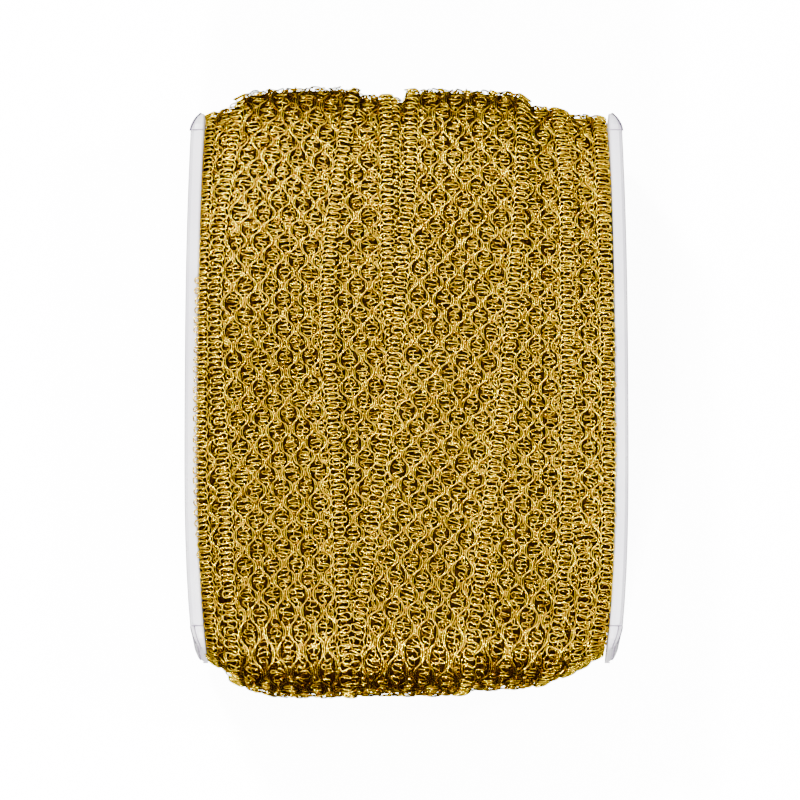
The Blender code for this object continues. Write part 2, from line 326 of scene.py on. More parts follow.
@dataclass
class WoundForm:
    """The form of the winding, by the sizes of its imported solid.

    Attributes:
        middle_y: Y of the core form's middle.
        middle_z: Z of the core form's middle.
        turns: The turns of braid, from the lowest to the one laid last.
    """

    middle_y: float
    middle_z: float
    turns: tuple[BraidTurn, ...] = TURNS
    lumps: Unevenness = Unevenness()
    length_round_end: float = 77.5 * MM
    length_full_end: float = 75.3 * MM
    core_half_depth: float = 18.6 * MM
    round_end_exponent: float = 2.1
    full_end_exponent: float = 3.8
    half_width: float = 57.7 * MM
    edge_build_up: float = 3.6 * MM
    crown_build_up: float = 8.9 * MM
    crown_exponent_left: float = 5.5
    crown_exponent_right: float = 2.8
    edge_layer_below_crown: float = 1.7 * MM
    draw_in_round_end: float = 1.6 * MM
    draw_in_full_end: float = 3.0 * MM
    draw_in_reach: float = 78.0 * MM
    draw_in_exponent_round_end: float = 2.5
    draw_in_exponent_full_end: float = 3.5
    ground_below_lowest: float = 1.0 * MM
    least_lift: float = 0.2 * MM
    half_slope: float = 0.3 * MM
    groove: float = 0.45 * MM
    groove_shoulder: float = 1.1 * MM
    samples: int = 3001
    end_fall: EndFall = field(init=False)
    table: Array = field(init=False)
    loop: float = field(init=False)

    def __post_init__(self) -> None:
        """Works out the core form's line from the round end down the front to the full end."""
        angle = np.linspace(0.0, math.pi, self.samples)
        along = np.cos(angle)
        across = np.sin(angle)
        exponent = np.where(along >= 0.0, self.round_end_exponent, self.full_end_exponent)
        length = np.where(along >= 0.0, self.length_round_end, self.length_full_end)
        y = length * np.sign(along) * np.abs(along) ** (2.0 / exponent)
        z = self.core_half_depth * np.abs(across) ** (2.0 / exponent)
        arc = np.concatenate([[0.0], np.cumsum(np.hypot(np.diff(y), np.diff(z)))])
        way_y = np.gradient(y)
        way_z = np.gradient(z)
        step = np.maximum(np.hypot(way_y, way_z), TINY)
        self.table = np.stack([arc / arc[-1] * FULL_END, y, z, way_z / step, -way_y / step])
        self.loop = 2.0 * float(arc[-1])
        self.end_fall = EndFall(self.half_width)

    def core(self, place: Array) -> tuple[Array, Array, Array, Array]:
        """Reads the core form's line.

        Args:
            place: Places round the reel.

        Returns:
            Y and Z of the line and of its outward normal, about the form's middle.
        """
        place = place % 1.0
        from_round_end = np.minimum(place, 1.0 - place)
        y, z, normal_y, normal_z = (
            np.interp(from_round_end, self.table[0], row) for row in self.table[1:]
        )
        side = np.where(place > FULL_END, -1.0, 1.0)
        return y, z * side, normal_y, normal_z * side

    def draw_in(self, y: Array) -> Array:
        """Gives how far the winding's side stands in from its widest place.

        Args:
            y: Places along the reel.

        Returns:
            The distance at each of them.
        """
        reach = np.abs(y) / self.draw_in_reach
        round_end = self.draw_in_round_end * reach**self.draw_in_exponent_round_end
        full_end = self.draw_in_full_end * reach**self.draw_in_exponent_full_end
        return np.where(y >= 0.0, round_end, full_end)

    def side(self, place: Array) -> Array:
        """Gives half of the winding's width.

        Args:
            place: Places round the reel.

        Returns:
            The half width at each of them.
        """
        y, _, normal_y, _ = self.core(place)
        edge_height = self.edge_build_up - self.edge_layer_below_crown
        return self.half_width - self.draw_in(y + normal_y * edge_height)

    def crown(self, x: Array) -> Array:
        """Gives how high the winding is built up.

        Args:
            x: Places across the reel.

        Returns:
            The height above the core form at each of them.
        """
        share = np.clip(np.abs(x) / self.half_width, 0.0, 1.0)
        exponent = np.where(x < 0.0, self.crown_exponent_left, self.crown_exponent_right)
        return self.edge_build_up + (self.crown_build_up - self.edge_build_up) * (1.0 - share**exponent)

    def height(self, number: int, x: Array, place: Array) -> tuple[Array, Array]:
        """Lays the turns one over the other up to one of them.

        Args:
            number: The last turn to lay, counted in the form's turns.
            x: Places across the reel.
            place: Places round the reel.

        Returns:
            The height of that turn's own surface above the core form, and the height of all that
            is laid by then.
        """
        crown = self.crown(x)
        height = crown - self.turns[0].below_crown_mm * MM - self.ground_below_lowest
        surface = height
        for turn in self.turns[: number + 1]:
            inside = turn.inside(x, place)
            cover = np.clip(0.5 + inside / (2.0 * self.half_slope), 0.0, 1.0) * turn.laid(place)
            from_groove = np.abs(inside - turn.SELVEDGE_WIDTH)
            groove = self.groove * np.clip(1.0 - from_groove / self.groove_shoulder, 0.0, 1.0)
            surface = np.maximum(crown - turn.below_crown(place), height + self.least_lift) - groove
            height = height + cover * (surface - height)
        change = self.lumps.rise(x, place) - self.end_fall.depth(x, place)
        return surface + change, height + change

    def under_cover(self, number: int, x: Array, place: Array) -> Array:
        """Gives how far points of one turn lie inside the turns laid over it.

        Args:
            number: The turn, counted in the form's turns.
            x: Places across the reel.
            place: Places round the reel.

        Returns:
            The greatest distance at each point, below 0 outside all of them.
        """
        deepest = np.full(np.shape(x), -1.0)
        for later in self.turns[number + 1:]:
            covered = later.inside(x, place) * later.laid(place) - (1.0 - later.laid(place))
            deepest = np.maximum(deepest, covered)
        return deepest

    def points(self, x: Array, place: Array, height: Array) -> tuple[Array, Array]:
        """Places points on the form.

        Args:
            x: Places across the reel.
            place: Places round the reel.
            height: Heights above the core form.

        Returns:
            The points, and the outward normals there.
        """
        y, z, normal_y, normal_z = self.core(place)
        spots = [x, y + normal_y * height + self.middle_y, z + normal_z * height + self.middle_z]
        return np.stack(spots, axis=-1), np.stack([np.zeros_like(x), normal_y, normal_z], axis=-1)


@dataclass
class Strands:
    """Strands of yarn as lines in the flat braid, one row a strand.

    Attributes:
        across: Places across the braid, from its centre line.
        along: Places along the braid, from the turn's start.
        lift: Heights above the turn's surface.
        thickness: The yarn's thickness.
        section: How the yarn is rounded.
    """

    across: Array
    along: Array
    lift: Array
    thickness: float
    section: YarnSection = YarnSection.THREAD

    @classmethod
    def of_rows(
        cls, rows: list[tuple[Array, Array, Array]], thickness: float,
        section: YarnSection = YarnSection.THREAD,
    ) -> Strands:
        """Makes strands of rows, each a strand's places across, along and above the turn."""
        return cls(*(np.array(part) for part in zip(*rows)), thickness, section)


@dataclass
class MeshBuilder:
    """Collects points and faces, and makes one mesh of those that are used."""

    points: list[Array] = field(default_factory=list)
    faces: list[Indices] = field(default_factory=list)
    count: int = 0

    def add(self, points: Array, faces: list[Indices]) -> None:
        """Adds points and faces.

        Args:
            points: The points.
            faces: Arrays of faces, whose corners count from the first of the points.
        """
        self.points.append(points.reshape(-1, 3))
        self.faces += [corners + self.count for corners in faces if len(corners)]
        self.count += len(self.points[-1])

    def add_tubes(self, lines: Array, normals: Array, radius: float, sides: int, shown: Mask) -> None:
        """Adds tubes along lines, closed at the ends of each stretch that shows.

        Args:
            lines: Points of the lines, one row of points a line.
            normals: The way up at each point.
            radius: The tubes' radius.
            sides: Number of flat sides, one corner of which is on top.
            shown: Whether each point shows.
        """
        way = unit(np.gradient(lines, axis=1))
        beside = unit(np.cross(way, normals))
        above = np.cross(beside, way)
        angles = math.pi / 2.0 + TURN_ROUND * np.arange(sides) / sides
        ring = np.cos(angles)[:, None] * beside[:, :, None] + np.sin(angles)[:, None] * above[:, :, None]
        rings = lines[:, :, None] + radius * ring
        rows, length = lines.shape[:2]
        index = np.arange(rows * length * sides).reshape(rows, length, sides)
        piece = shown[:, :-1] & shown[:, 1:]
        before = np.pad(piece, ((0, 0), (1, 0)))[:, :-1]
        after = np.pad(piece, ((0, 0), (0, 1)))[:, 1:]
        here = index[:, :-1]
        following = index[:, 1:]
        walls = np.stack(
            [here, following, np.roll(following, -1, axis=2), np.roll(here, -1, axis=2)], axis=-1,
        )
        starts = here[piece & ~before]
        ends = following[piece & ~after][:, ::-1]
        self.add(rings, [walls[piece].reshape(-1, 4), starts, ends])

    def build(self, name: str, material: Material) -> Object:
        """Makes the object.

        Args:
            name: The piece's name.
            material: Its finish.

        Returns:
            The new object, in the scene's collection.
        """
        points = np.concatenate(self.points)
        corners = np.concatenate([face.ravel() for face in self.faces])
        sizes = np.concatenate([np.full(len(face), face.shape[1]) for face in self.faces])
        used, corners = np.unique(corners, return_inverse=True)
        mesh = bpy.data.meshes.new(name)
        mesh.vertices.add(len(used))
        mesh.vertices.foreach_set("co", points[used].astype(np.float32).ravel())
        mesh.loops.add(len(corners))
        mesh.loops.foreach_set("vertex_index", corners.astype(np.int32).ravel())
        mesh.polygons.add(len(sizes))
        starts = np.concatenate([[0], np.cumsum(sizes)[:-1]])
        mesh.polygons.foreach_set("loop_start", starts.astype(np.int32))
        mesh.polygons.foreach_set("use_smooth", np.full(len(sizes), True))
        mesh.update(calc_edges=True)
        mesh.materials.append(material)
        item = bpy.data.objects.new(name, mesh)
        bpy.context.scene.collection.objects.link(item)
        return item

    @property
    def triangles(self) -> int:
        """Number of triangles that the faces make."""
        return int(sum(len(face) * (face.shape[1] - 2) for face in self.faces))


@dataclass(frozen=True)
class ThreadLayer:
    """A layer of threads that cross back and forth inside the columns of cells.

    Attributes:
        use: Its use of chance.
        rows: How often a thread crosses in one repeat of the pattern.
        steps: Points to one crossing.
        lift: Its height above the turn's surface.
        thickness: The threads' thickness.
    """

    use: Chance
    rows: int
    steps: int
    lift: float
    thickness: float


@dataclass
class MeshBraidPattern:
    """The knitted pattern of the flat braid, laid out for one turn round the reel.

    Attributes:
        loop: Length once round the reel.
        turns_before: Whole turns of the braid before this one.
    """

    # The four waves that make up a waver, by their shares of across, along and its own number
    WAVES = ((0.83, 0.61, 1.7), (-0.29, 0.37, 2.3), (-0.71, 1.27, 0.9), (1.13, 0.19, -1.1))
    BROAD_SHARE = 0.6
    SEED = 11
    SEEDS_PER_USE = 100
    FILLINGS = ThreadLayer(Chance.FILLINGS, 8, 4, 0.20 * MM, 0.34 * MM)
    UNDER_LADDERS = ThreadLayer(Chance.UNDER_LADDERS, 8, 4, -0.10 * MM, 0.34 * MM)
    DEEP_THREADS = ThreadLayer(Chance.DEEP_THREADS, 7, 3, -0.42 * MM, 0.32 * MM)

    loop: float
    turns_before: int
    wave_count: int = 8
    wave_spacing: float = 3.5 * MM
    wave_reach: float = 1.28 * MM
    wave_reach_waver: float = 0.14
    wave_overhang: float = 0.22 * MM
    wave_shift: float = 0.22 * MM
    wanted_repeat: float = 7.95 * MM
    row_waver: float = 0.45 * MM
    steps_per_repeat: int = 12
    cord_thickness: float = 0.44 * MM
    cord_lift: float = 0.32 * MM
    flank_lift: float = 0.22 * MM
    companion_thickness: float = 0.26 * MM
    companion_offset: float = 0.62 * MM
    companion_lift: float = 0.20 * MM
    thread_clearance: float = 0.40 * MM
    least_reach: float = 0.10 * MM
    narrow_dip: float = 0.60 * MM
    row_sizes: Pair = (0.45, 1.08)
    row_overhang: float = 0.2
    row_tilt: float = 0.80 * MM
    row_bow: float = 0.45 * MM
    row_rise: float = 0.26 * MM
    curl_radius: float = 0.70 * MM
    curl_sizes: Pair = (0.5, 1.15)
    curl_breadth: float = 1.3
    curl_drift: float = 0.27
    curls_per_repeat: int = 4
    curl_lift: float = 0.34 * MM
    curl_rise: float = 0.20 * MM
    steps_per_curl: int = 6
    ladder_middle: float = 15.45 * MM
    ladder_reach: float = 1.75 * MM
    ladder_pitch: float = 1.39 * MM
    ladder_overhang: float = 0.34
    ladder_thickness: float = 0.46 * MM
    ladder_lift: float = 0.34 * MM
    ladder_waver: float = 0.20 * MM
    ladder_sway: float = 0.12 * MM
    ladder_rise: float = 0.12 * MM
    ladder_rise_start: float = 0.6
    rung_sizes: Pair = (0.88, 1.08)
    ring_reach: float = 0.95 * MM
    ring_sizes: Pair = (0.0, 1.0)
    steps_per_rung: int = 6
    under_ladder_reach: float = 0.35 * MM
    chain_thickness: float = 0.34 * MM
    chain_reach: float = 0.30 * MM
    chain_waver: float = 0.2
    steps_per_chain: int = 2

    @property
    def repeats(self) -> int:
        """Whole repeats of the pattern once round the reel."""
        return round(self.loop / self.wanted_repeat)

    @property
    def repeat(self) -> float:
        """Length of one repeat of the pattern."""
        return self.loop / self.repeats

    @property
    def rungs(self) -> int:
        """Rungs of a ladder once round the reel, an even number."""
        return 2 * round(self.loop / self.ladder_pitch / 2.0)

    def random(self, use: Chance) -> np.random.Generator:
        """Gives a source of chance for one use of it in this turn, the same each run."""
        return np.random.default_rng(self.SEED + self.SEEDS_PER_USE * use.value + self.turns_before)

    def by_chance(
        self, rng: np.random.Generator, turn: Array, limits: Sequence[Pair]
    ) -> list[Array]:
        """Gives values that change by chance from one turn of a thread to the next.

        Args:
            rng: The source of chance.
            turn: How many turns the thread has made at each of its points.
            limits: The lowest and the highest of each value.

        Returns:
            Each value at every point.
        """
        whole = np.arange(round(turn[-1]) + 1)
        return [np.interp(turn, whole, rng.uniform(low, high, len(whole))) for low, high in limits]

    def swells(self, across: float, along: Array, waver: Waver) -> Array:
        """Gives the slow waver of hand-handled cloth, from -1 to 1.

        Args:
            across: The place across the braid.
            along: Places along the turn.
            waver: Which waver it is.

        Returns:
            The waver at each place.
        """
        length, own = waver.value
        a = TURN_ROUND * across / length
        b = TURN_ROUND * (along + self.turns_before * self.loop) / length
        first, second, third, fourth = (
            by_across * a + by_along * b + by_own * own for by_across, by_along, by_own in self.WAVES
        )
        broad = np.sin(first) * np.cos(second)
        narrow = np.sin(third) * np.sin(fourth)
        return self.BROAD_SHARE * broad + (1.0 - self.BROAD_SHARE) * narrow

    def waver(self, across: float, along: Array) -> Array:
        """Gives how far a row of the pattern is pushed along the braid."""
        return self.row_waver * self.swells(across, along, Waver.ROWS)

    def wave_side(self, number: int) -> float:
        """Gives the side to which a cord bends first, as each bends against its neighbours."""
        return 1.0 if number % 2 == 0 else -1.0

    def wave(self, number: int, angle: Array) -> tuple[Array, Array]:
        """Gives the middle line of one wavy cord of the mesh.

        Args:
            number: The cord, counted from the left.
            angle: How far along its repeats, as an angle.

        Returns:
            Places across and along the braid.
        """
        middle = (number - (self.wave_count - 1) / 2.0) * self.wave_spacing
        along = angle / TURN_ROUND * self.repeat
        waver = self.wave_reach_waver * self.swells(middle, along, Waver.WAVE_REACH)
        reach = self.wave_side(number) * self.wave_reach * (1.0 + waver)
        shift = self.wave_shift * self.swells(middle, along, Waver.WAVE_PLACE)
        across = middle + reach * np.sin(angle) + shift
        along = along - self.wave_overhang * np.sin(2.0 * angle) + self.waver(middle, along)
        return across, along

    def cords(self) -> list[Strands]:
        """Lays out the wavy cords, each with a thinner one along the inside of its bends.

        Returns:
            The cords, and the thinner ones.
        """
        steps = self.repeats * self.steps_per_repeat
        angle = np.linspace(0.0, TURN_ROUND * self.repeats, steps + 1)
        sides = np.array([[self.wave_side(number)] for number in range(self.wave_count)])
        waves = [self.wave(number, angle) for number in range(self.wave_count)]
        across, along = (np.array(part) for part in zip(*waves))
        way_across, way_along = (np.gradient(part, axis=1) for part in (across, along))
        length = np.hypot(way_across, way_along)
        lift = -self.flank_lift * sides * np.cos(angle)
        offset = -self.companion_offset * sides * np.sin(angle)
        beside_across = across + offset * way_along / length
        beside_along = along - offset * way_across / length
        low = self.companion_lift + lift
        return [
            Strands(across, along, self.cord_lift + lift, self.cord_thickness, YarnSection.CORD),
            Strands(beside_across, beside_along, low, self.companion_thickness),
        ]

    def column_line(self, number: int, angle: Array) -> Array:
        """Gives one of the lines between the columns of threads.

        Args:
            number: The line: -2 and -1 are the sides of the left selvedge, then come the cords, and
                wave_count and the one after it are the sides of the right selvedge.
            angle: How far along the repeats, as an angle.

        Returns:
            Places across the braid.
        """
        if 0 <= number < self.wave_count:
            return self.wave(number, angle)[0]
        inner = self.ladder_middle - self.ladder_reach
        outer = self.ladder_middle + self.ladder_reach + self.under_ladder_reach
        places = {-2: -outer, -1: -inner, self.wave_count: inner, self.wave_count + 1: outer}
        return np.full(angle.shape, places[number])

    def column(self, number: int, angle: Array) -> tuple[Array, Array, Array, Array]:
        """Gives the room for threads in one column.

        Args:
            number: The column, by the number of the line at its left.
            angle: How far along the repeats, as an angle.

        Returns:
            The column's middle, its width, how far a thread reaches from the middle, and how far it
            dips where the column is narrow.
        """
        left = self.column_line(number, angle)
        right = self.column_line(number + 1, angle)
        width = right - left
        room = np.maximum(width / 2.0 - self.thread_clearance, self.least_reach)
        dip = self.narrow_dip * (1.0 - smooth_step(width / self.wave_spacing))
        return (left + right) / 2.0, width, room, dip

    def squiggles(self, layer: ThreadLayer, columns: Sequence[int]) -> Strands:
        """Lays out a layer of threads that cross back and forth.

        Args:
            layer: The layer.
            columns: The numbers of its columns.

        Returns:
            The threads, one to a column.
        """
        rng = self.random(layer.use)
        count = self.repeats * layer.rows
        turn = np.linspace(0.0, count, count * layer.steps + 1)
        psi = math.pi * turn
        share = np.sin(psi)
        pitch = self.repeat / layer.rows
        main = turn * pitch
        angle = TURN_ROUND * main / self.repeat
        rows = []
        for number in columns:
            middle, _, room, dip = self.column(number, angle)
            limits = (self.row_sizes, EITHER_WAY, EITHER_WAY, EITHER_WAY)
            size, tilt, bow, rise = self.by_chance(rng, turn, limits)
            wander = self.row_tilt * tilt * share * room / self.wave_spacing
            wander = wander + self.row_bow * bow * np.cos(psi) ** 2
            along = main - self.row_overhang * pitch * np.sin(2.0 * psi) + wander
            along = along + self.waver(0.0, main)
            lift = layer.lift + self.row_rise * rise - dip
            rows.append((middle + room * size * share, along, lift))
        return Strands.of_rows(rows, layer.thickness)

    def fillings(self) -> list[Strands]:
        """Lays out the threads inside the cells and under the selvedges."""
        cells = self.squiggles(self.FILLINGS, range(-1, self.wave_count))
        return [cells, self.squiggles(self.UNDER_LADDERS, (-2, self.wave_count)), self.curls()]

    def deep_threads(self) -> list[Strands]:
        """Lays out the threads that show through the cells from the layer below."""
        return [self.squiggles(self.DEEP_THREADS, range(-2, self.wave_count + 1))]

    def curls(self) -> Strands:
        """Lays out the thread that runs up each column of cells in small loops.

        Returns:
            The threads, one to a column.
        """
        rng = self.random(Chance.CURLS)
        count = self.repeats * self.curls_per_repeat
        turn = np.linspace(0.0, count, count * self.steps_per_curl + 1)
        theta = TURN_ROUND * turn
        main = turn / count * self.loop
        angle = TURN_ROUND * main / self.repeat
        rows = []
        for number in range(-1, self.wave_count):
            middle, width, room, dip = self.column(number, angle)
            limits = (self.curl_sizes, (-self.curl_drift, self.curl_drift))
            size, drift = self.by_chance(rng, turn, limits)
            radius = self.curl_radius * size
            reach = np.minimum(radius * self.curl_breadth, room)
            across = middle + drift * width + reach * np.cos(theta)
            along = main + radius * np.sin(theta) + self.waver(0.0, main)
            rise = self.curl_rise * np.sin(theta + number)
            rows.append((across, along, self.curl_lift + rise - dip))
        return Strands.of_rows(rows, self.FILLINGS.thickness)

    def selvedges(self) -> list[Strands]:
        """Lays out both selvedges, each a ladder and the chain of stitches inside it."""
        return [self.ladders(), self.chains()]

    def ladders(self) -> Strands:
        """Lays out the looped rungs of both selvedges.

        Returns:
            The yarn of the rungs, one strand to a selvedge.
        """
        rng = self.random(Chance.LADDERS)
        rungs = self.rungs
        pitch = self.loop / rungs
        turn = np.linspace(0.0, rungs, rungs * self.steps_per_rung + 1)
        psi = math.pi * turn
        lift = self.ladder_lift + self.ladder_rise * np.cos(2.0 * psi + self.ladder_rise_start)
        rows = []
        for side in Side:
            limits = (self.rung_sizes, EITHER_WAY, self.ring_sizes)
            size, nudge, ring = self.by_chance(rng, turn, limits)
            outward = side.value * np.clip(side.value * np.sin(psi), 0.0, 1.0)
            middle = side.value * self.ladder_middle
            across = middle + self.ladder_reach * size * np.sin(psi) + self.ring_reach * ring * outward
            across = across + self.ladder_sway * self.swells(middle, turn * pitch, Waver.LADDERS)
            wander = self.ladder_waver * nudge - self.ladder_overhang * pitch * np.sin(2.0 * psi)
            rows.append((across, turn * pitch + wander, lift))
        return Strands.of_rows(rows, self.ladder_thickness, YarnSection.CORD)

    def chains(self) -> Strands:
        """Lays out the small stitches that join each selvedge to the mesh.

        Returns:
            The chains of stitches, one to a selvedge.
        """
        count = self.rungs
        turn = np.linspace(0.0, count, count * self.steps_per_chain + 1)
        zigzag = self.chain_reach * np.cos(math.pi * turn)
        along = (turn + self.chain_waver * np.sin(0.5 * math.pi * turn)) / count * self.loop
        lift = np.full(turn.shape, self.ladder_lift)
        middle = self.ladder_middle - self.ladder_reach
        rows = [(side.value * middle + zigzag, along, lift) for side in Side]
        return Strands.of_rows(rows, self.chain_thickness)


def set_node(tree: NodeTree, node: Node, values: Values, sources: Sources) -> None:
    """Sets a node's sockets.

    Args:
        tree: The tree that it is in.
        node: The node.
        values: Names of sockets, with the value of each.
        sources: Names of other sockets, with what drives each.
    """
    for socket, value in values.items():
        node.inputs[socket].default_value = value
    for socket, source in sources.items():
        tree.links.new(source, node.inputs[socket])


def add_node(tree: NodeTree, kind: str, values: Values, sources: Sources) -> Node:
    """Adds a node.

    Args:
        tree: The tree to add it to.
        kind: The node's kind.
        values: Names of sockets, with the value of each.
        sources: Names of other sockets, with what drives each.

    Returns:
        The node.
    """
    node = tree.nodes.new(kind)
    set_node(tree, node, values, sources)
    return node


@dataclass(frozen=True)
class Noise:
    """A noise in the object's own place.

    Attributes:
        scale: Lumps to a metre, about.
        detail: How many finer layers it has.
        roughness: How strong those layers are.
    """

    scale: float
    detail: float
    roughness: float = 0.5

    def add_to(self, tree: NodeTree) -> NodeSocket:
        """Adds the noise to a tree.

        Args:
            tree: The tree.

        Returns:
            The noise's value.
        """
        place = add_node(tree, "ShaderNodeTexCoord", {}, {})
        values = {"Scale": self.scale, "Detail": self.detail, "Roughness": self.roughness}
        sources = {"Vector": place.outputs["Object"]}
        return add_node(tree, "ShaderNodeTexNoise", values, sources).outputs["Fac"]


@dataclass(frozen=True)
class Finish:
    """A finish whose colour, gloss and relief follow noises over the surface.

    Attributes:
        name: The material's name.
        colours: Its colours, in the order in which they stand in the spots.
        stops: Where in the spots each colour stands.
        spots: The noise of its colours.
        gloss: The noise of its roughness, if that changes over the surface.
        roughness: The least and the most roughness.
        grain: The noise of its relief, if it has one.
        relief: How much of the relief shows, and its depth.
        fixed: Names and values of the shader's sockets that are the same all over.
    """

    name: str
    colours: tuple[Colour, ...]
    stops: tuple[float, ...]
    spots: Noise
    gloss: Noise | None = None
    roughness: Pair = (0.5, 0.5)
    grain: Noise | None = None
    relief: Pair = (1.0, 0.0)
    fixed: Fixed = ()

    def build(self) -> Material:
        """Makes the material.

        Returns:
            The new material.
        """
        material = bpy.data.materials.new(self.name)
        material.use_nodes = True
        material.diffuse_color = self.colours[(len(self.colours) - 1) // 2]
        tree = material.node_tree
        wanted = dict.fromkeys((self.spots, self.gloss, self.grain))
        noises = {noise: noise.add_to(tree) for noise in wanted if noise}
        ramp = add_node(tree, "ShaderNodeValToRGB", {}, {"Fac": noises[self.spots]})
        elements = ramp.color_ramp.elements
        while len(elements) < len(self.stops):
            elements.new(self.stops[len(elements) - 1])
        for element, position, colour in zip(elements, self.stops, self.colours):
            element.position = position
            element.color = colour
        sources = {"Base Color": ramp.outputs["Color"]}
        if self.gloss:
            values = {"To Min": self.roughness[0], "To Max": self.roughness[1]}
            spread = add_node(tree, "ShaderNodeMapRange", values, {"Value": noises[self.gloss]})
            sources["Roughness"] = spread.outputs["Result"]
        if self.grain:
            values = {"Strength": self.relief[0], "Distance": self.relief[1]}
            bump = add_node(tree, "ShaderNodeBump", values, {"Height": noises[self.grain]})
            sources["Normal"] = bump.outputs["Normal"]
        set_node(tree, tree.nodes["Principled BSDF"], dict(self.fixed), sources)
        return material


@dataclass(frozen=True)
class GoldYarnFinish(Finish):
    """Bright metallic yarn, with the glints and dull spots of its twisted film."""

    name: str = "gold_cord_yarn"
    colours: tuple[Colour, ...] = (
        (0.34, 0.19, 0.0, 1.0), (0.72, 0.48, 0.0, 1.0), (0.90, 0.65, 0.0, 1.0),
    )
    stops: tuple[float, ...] = (0.34, 0.47, 0.62)
    spots: Noise = Noise(700.0, 3.0, 0.65)
    gloss: Noise | None = Noise(1500.0, 2.0)
    roughness: Pair = (0.12, 0.28)
    grain: Noise | None = Noise(1500.0, 2.0)
    relief: Pair = (1.0, 0.20 * MM)
    fixed: Fixed = (
        ("Metallic", 1.0), ("Specular Tint", (1.0, 0.66, 0.0, 1.0)),
    )


@dataclass(frozen=True)
class GoldFillingFinish(GoldYarnFinish):
    """The finer threads inside the cells: a copy of the cord yarn, brighter as painted highlight, with
    darker spots as painted shade.
    """

    name: str = "gold_filling_yarn"
    colours: tuple[Colour, ...] = (
        (0.22, 0.10, 0.0, 1.0), (0.80, 0.51, 0.0, 1.0), (1.0, 0.71, 0.0, 1.0),
    )


@dataclass(frozen=True)
class GoldPaintedShadeFinish(GoldYarnFinish):
    """The threads of the layer below: a darker copy of the gold yarn, as painted shade under the mesh
    over them.
    """

    name: str = "gold_deep_yarn"
    colours: tuple[Colour, ...] = (
        (0.06, 0.02, 0.0, 1.0), (0.36, 0.19, 0.0, 1.0), (0.80, 0.50, 0.0, 1.0),
    )


@dataclass(frozen=True)
class LowerLayersPaintedShadeFinish(Finish):
    """The braid's lower layers: near-black brown painted shade under the mesh, with faint lighter spots
    as painted glints.
    """

    name: str = "deep_layers_of_braid"
    colours: tuple[Colour, ...] = (
        (0.004, 0.001, 0.0, 1.0), (0.014, 0.004, 0.0, 1.0), (0.07, 0.025, 0.0, 1.0),
    )
    stops: tuple[float, ...] = (0.44, 0.58, 0.72)
    spots: Noise = Noise(1100.0, 4.0, 0.7)
    grain: Noise | None = Noise(1100.0, 4.0, 0.7)
    relief: Pair = (0.8, 0.5 * MM)
    fixed: Fixed = (("Specular IOR Level", 0.0), ("Roughness", 0.9))


@dataclass(frozen=True)
class MilkyPlasticFinish(Finish):
    """The reel's milky translucent plastic."""

    name: str = "milky_plastic"
    colours: tuple[Colour, ...] = ((0.80, 0.78, 0.81, 1.0), (0.71, 0.68, 0.74, 1.0))
    stops: tuple[float, ...] = (0.35, 0.65)
    spots: Noise = Noise(60.0, 3.0)
    gloss: Noise | None = Noise(60.0, 3.0)
    roughness: Pair = (0.22, 0.36)
    grain: Noise | None = Noise(900.0, 2.0)
    relief: Pair = (0.08, 0.05 * MM)
    fixed: Fixed = (("Transmission Weight", 0.15), ("IOR", 1.49))


@dataclass(frozen=True)
class PaintedCornerShadeFinish(Finish):
    """Painted shade: the dark purplish grey along the plates' bent corners."""

    name: str = "plastic_corner_lines"
    colours: tuple[Colour, ...] = ((0.040, 0.030, 0.050, 1.0), (0.100, 0.080, 0.120, 1.0))
    stops: tuple[float, ...] = (0.4, 0.65)
    spots: Noise = Noise(400.0, 2.0)
    fixed: Fixed = (("Specular IOR Level", 0.0), ("Roughness", 0.9))


@dataclass(frozen=True)
class PaintedCreaseShadeFinish(PaintedCornerShadeFinish):
    """Painted shade: the fainter grey of the creases inside the corners."""

    name: str = "plastic_creases"
    colours: tuple[Colour, ...] = ((0.18, 0.15, 0.20, 1.0), (0.32, 0.28, 0.34, 1.0))


@dataclass(frozen=True)
class PaleFloorFinish(Finish):
    """The plain white surface under the reel, which glows so that no shadow shows on it."""

    name: str = "pale_floor"
    colours: tuple[Colour, ...] = ((0.97, 0.97, 0.97, 1.0), (0.95, 0.95, 0.95, 1.0))
    stops: tuple[float, ...] = (0.3, 0.7)
    spots: Noise = Noise(2.0, 2.0)
    fixed: Fixed = (
        ("Roughness", 0.9), ("Emission Color", (0.97, 0.97, 0.97, 1.0)), ("Emission Strength", 11.0),
    )


